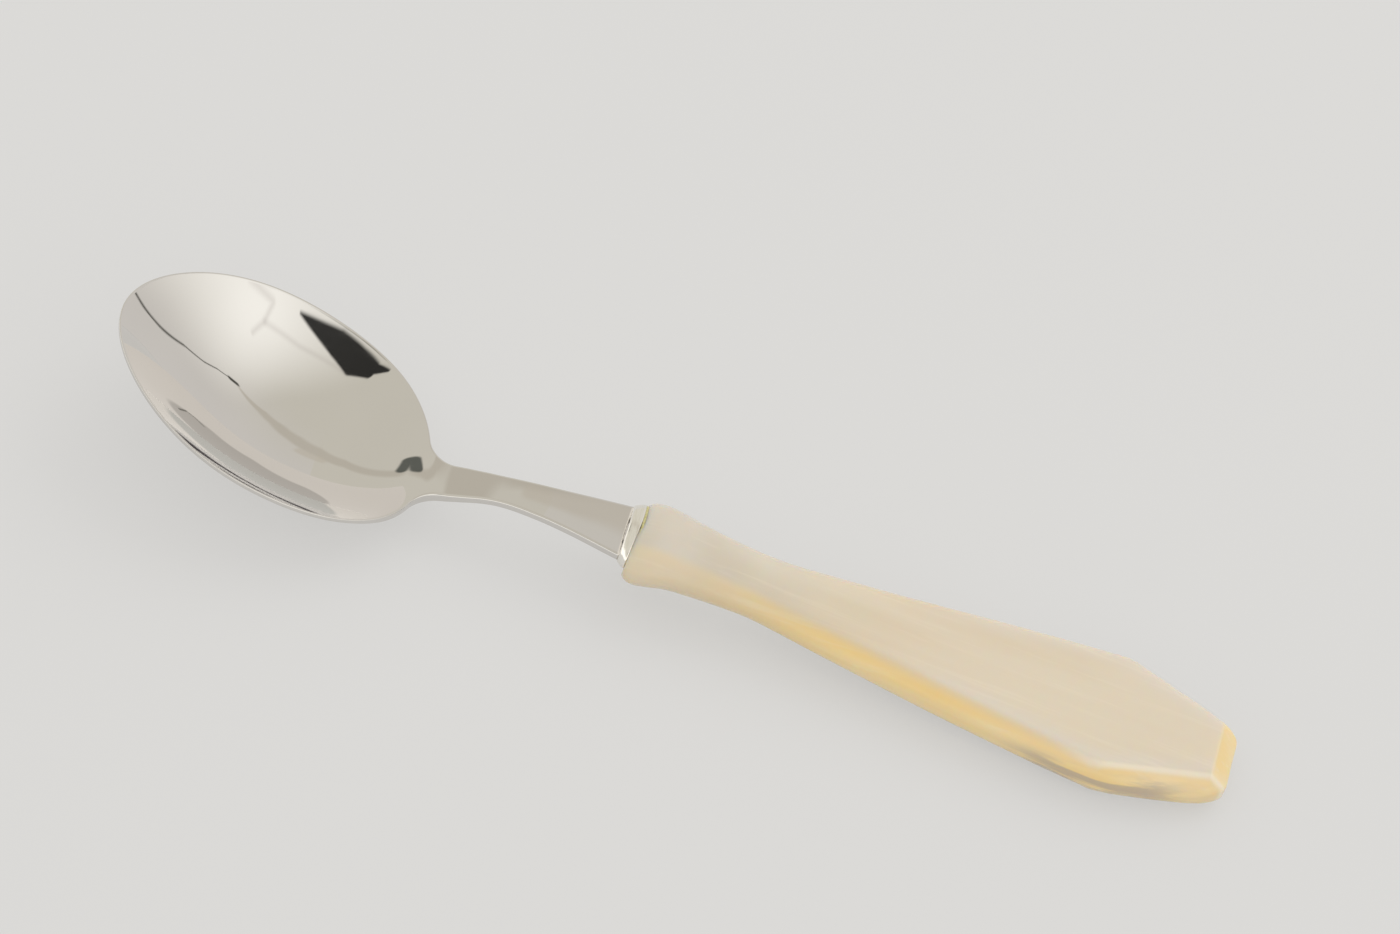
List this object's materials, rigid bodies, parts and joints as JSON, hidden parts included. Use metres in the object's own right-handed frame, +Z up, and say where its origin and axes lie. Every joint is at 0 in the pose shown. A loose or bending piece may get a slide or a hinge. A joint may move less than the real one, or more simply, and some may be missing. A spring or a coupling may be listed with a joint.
{
  "type": "coffee spoon",
  "caption": "Coffee spoon with an oval polished steel bowl on a slim widening stem, a thin collar and a flat bevelled pearl handle that widens to a tapered end.",
  "frame": {"origin": "centre of the bounding box at the level of the table", "axes": "+X along the spoon from the tip of the bowl to the end of the handle, +Z up"},
  "size_m": [0.1366, 0.0282, 0.016],
  "materials": {
    "polished_steel": "mirror polished stainless steel",
    "collar_metal": "polished",
    "pearl": "polished mother of pearl, translucent cream with faint streaks",
    "cement": "dull"
  },
  "bodies": {
    "root": {"spoon_blank": "polished_steel", "collar": "collar_metal", "handle": "pearl", "tang_cement": "cement"}
  },
  "joints": []
}
